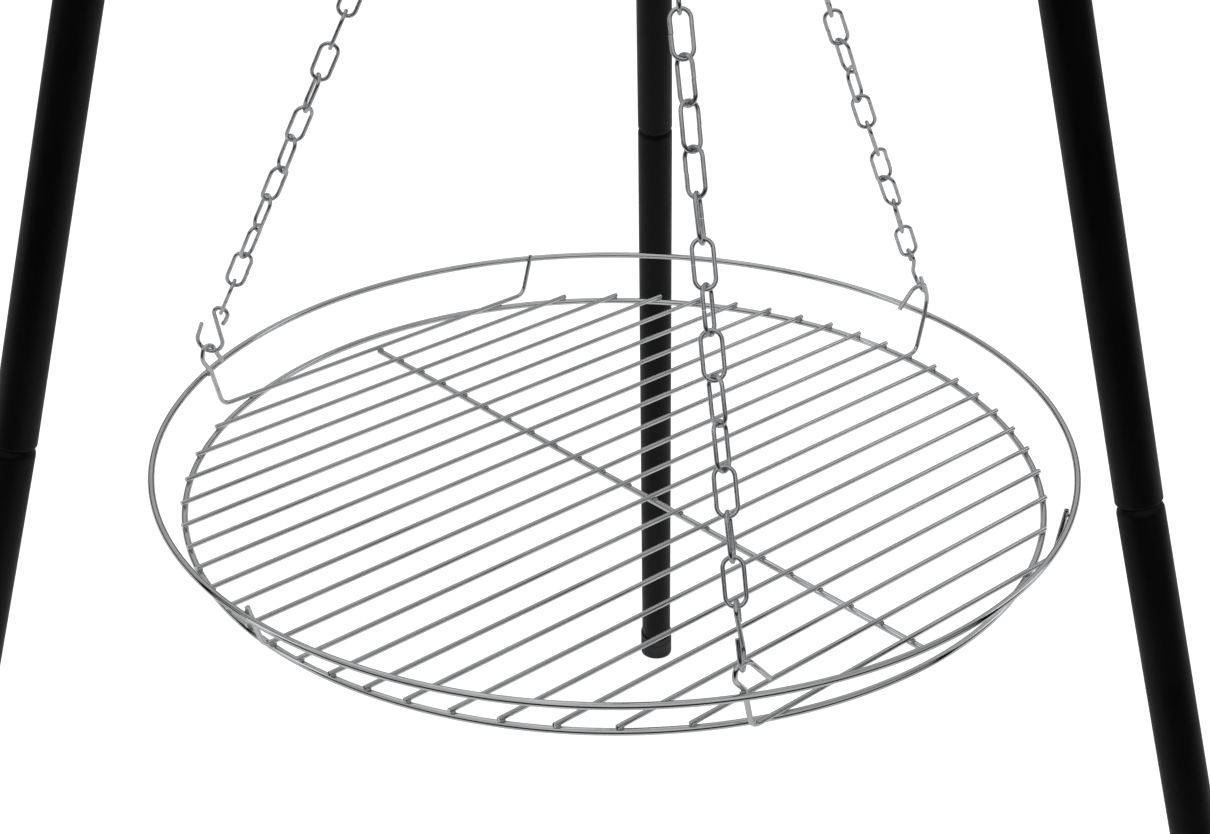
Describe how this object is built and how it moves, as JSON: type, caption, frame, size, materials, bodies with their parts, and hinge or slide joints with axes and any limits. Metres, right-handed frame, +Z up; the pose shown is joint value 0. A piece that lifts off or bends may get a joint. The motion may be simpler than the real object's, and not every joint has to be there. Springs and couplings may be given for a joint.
{
  "type": "campfire tripod grate",
  "caption": "Black tubular tripod with a round chromed wire cooking grate hung on chains from a hook under its head, for cooking over a campfire.",
  "frame": {"origin": "middle of the footprint's bounding box, on the ground", "axes": "+Z up, front of the object towards -Y, +X to its right"},
  "size_m": [0.888, 0.8072, 1.7067],
  "materials": {
    "black_paint": "satin black powder coat",
    "foot_plastic": "matt black moulded plastic",
    "chrome_wire": "bright chrome plate",
    "zinc_steel": "bright zinc plate"
  },
  "bodies": {
    "head": {"head_plate": "black_paint", "head_bracket_back": "black_paint", "head_bracket_left": "black_paint", "head_bracket_right": "black_paint", "hinge_bolt_back": "zinc_steel", "hinge_bolt_left": "zinc_steel", "hinge_bolt_right": "zinc_steel"},
    "leg_back": {"leg_back_tongue": "zinc_steel", "leg_back_upper_tube": "black_paint", "leg_back_middle_tube": "black_paint", "leg_back_lower_tube": "black_paint", "leg_back_foot_cap": "foot_plastic"},
    "leg_left": {"leg_left_tongue": "zinc_steel", "leg_left_upper_tube": "black_paint", "leg_left_middle_tube": "black_paint", "leg_left_lower_tube": "black_paint", "leg_left_foot_cap": "foot_plastic"},
    "leg_right": {"leg_right_tongue": "zinc_steel", "leg_right_upper_tube": "black_paint", "leg_right_middle_tube": "black_paint", "leg_right_lower_tube": "black_paint", "leg_right_foot_cap": "foot_plastic"},
    "hook": {"head_hook": "zinc_steel", "head_hook_nut": "zinc_steel"},
    "ring": {"hanger_ring": "zinc_steel"},
    "grate": {"hanger_chain": "zinc_steel", "apex_ring": "zinc_steel", "chain_left": "zinc_steel", "chain_right": "zinc_steel", "chain_front": "zinc_steel", "s_hook_left": "zinc_steel", "s_hook_right": "zinc_steel", "s_hook_front": "zinc_steel", "upper_ring": "chrome_wire", "lower_ring": "chrome_wire", "cross_bar": "chrome_wire", "hook_bar_left": "chrome_wire", "hook_bar_right": "chrome_wire", "hook_bar_front": "chrome_wire", "bar_02": "chrome_wire", "bar_03": "chrome_wire", "bar_04": "chrome_wire", "bar_05": "chrome_wire", "bar_06": "chrome_wire", "bar_07": "chrome_wire", "bar_08": "chrome_wire", "bar_09": "chrome_wire", "bar_10": "chrome_wire", "bar_11": "chrome_wire", "bar_13": "chrome_wire", "bar_14": "chrome_wire", "bar_15": "chrome_wire", "bar_16": "chrome_wire", "bar_17": "chrome_wire", "bar_18": "chrome_wire", "bar_19": "chrome_wire", "bar_20": "chrome_wire", "bar_21": "chrome_wire"}
  },
  "joints": [
    {"name": "leg_fold_back", "type": "hinge", "parent": "head", "child": "leg_back", "pos_m": [0.03814, -0.06133, 1.67066], "axis": [-0.9947, 0.1028, 0], "range_deg": [0, 1.5]},
    {"name": "leg_fold_left", "type": "hinge", "parent": "head", "child": "leg_left", "pos_m": [-0.00452, -0.12026, 1.67066], "axis": [0.4083, -0.9128, 0], "range_deg": [0, 1.5]},
    {"name": "leg_fold_right", "type": "hinge", "parent": "head", "child": "leg_right", "pos_m": [0.06785, -0.12774, 1.67066], "axis": [0.5864, 0.81, 0], "range_deg": [0, 0.6]},
    {"name": "hook_turn", "type": "hinge", "parent": "head", "child": "hook", "pos_m": [0.03382, -0.10311, 1.62436], "axis": [0, 0, 1], "continuous": true},
    {"name": "swing_front_back", "type": "hinge", "parent": "hook", "child": "ring", "pos_m": [0.03382, -0.10311, 1.62436], "axis": [1, 0, 0], "range_deg": [-1.2, 1.2]},
    {"name": "swing_side", "type": "hinge", "parent": "ring", "child": "grate", "pos_m": [0.03382, -0.10311, 1.59716], "axis": [0, 1, 0], "range_deg": [-1.2, 1.2]}
  ]
}
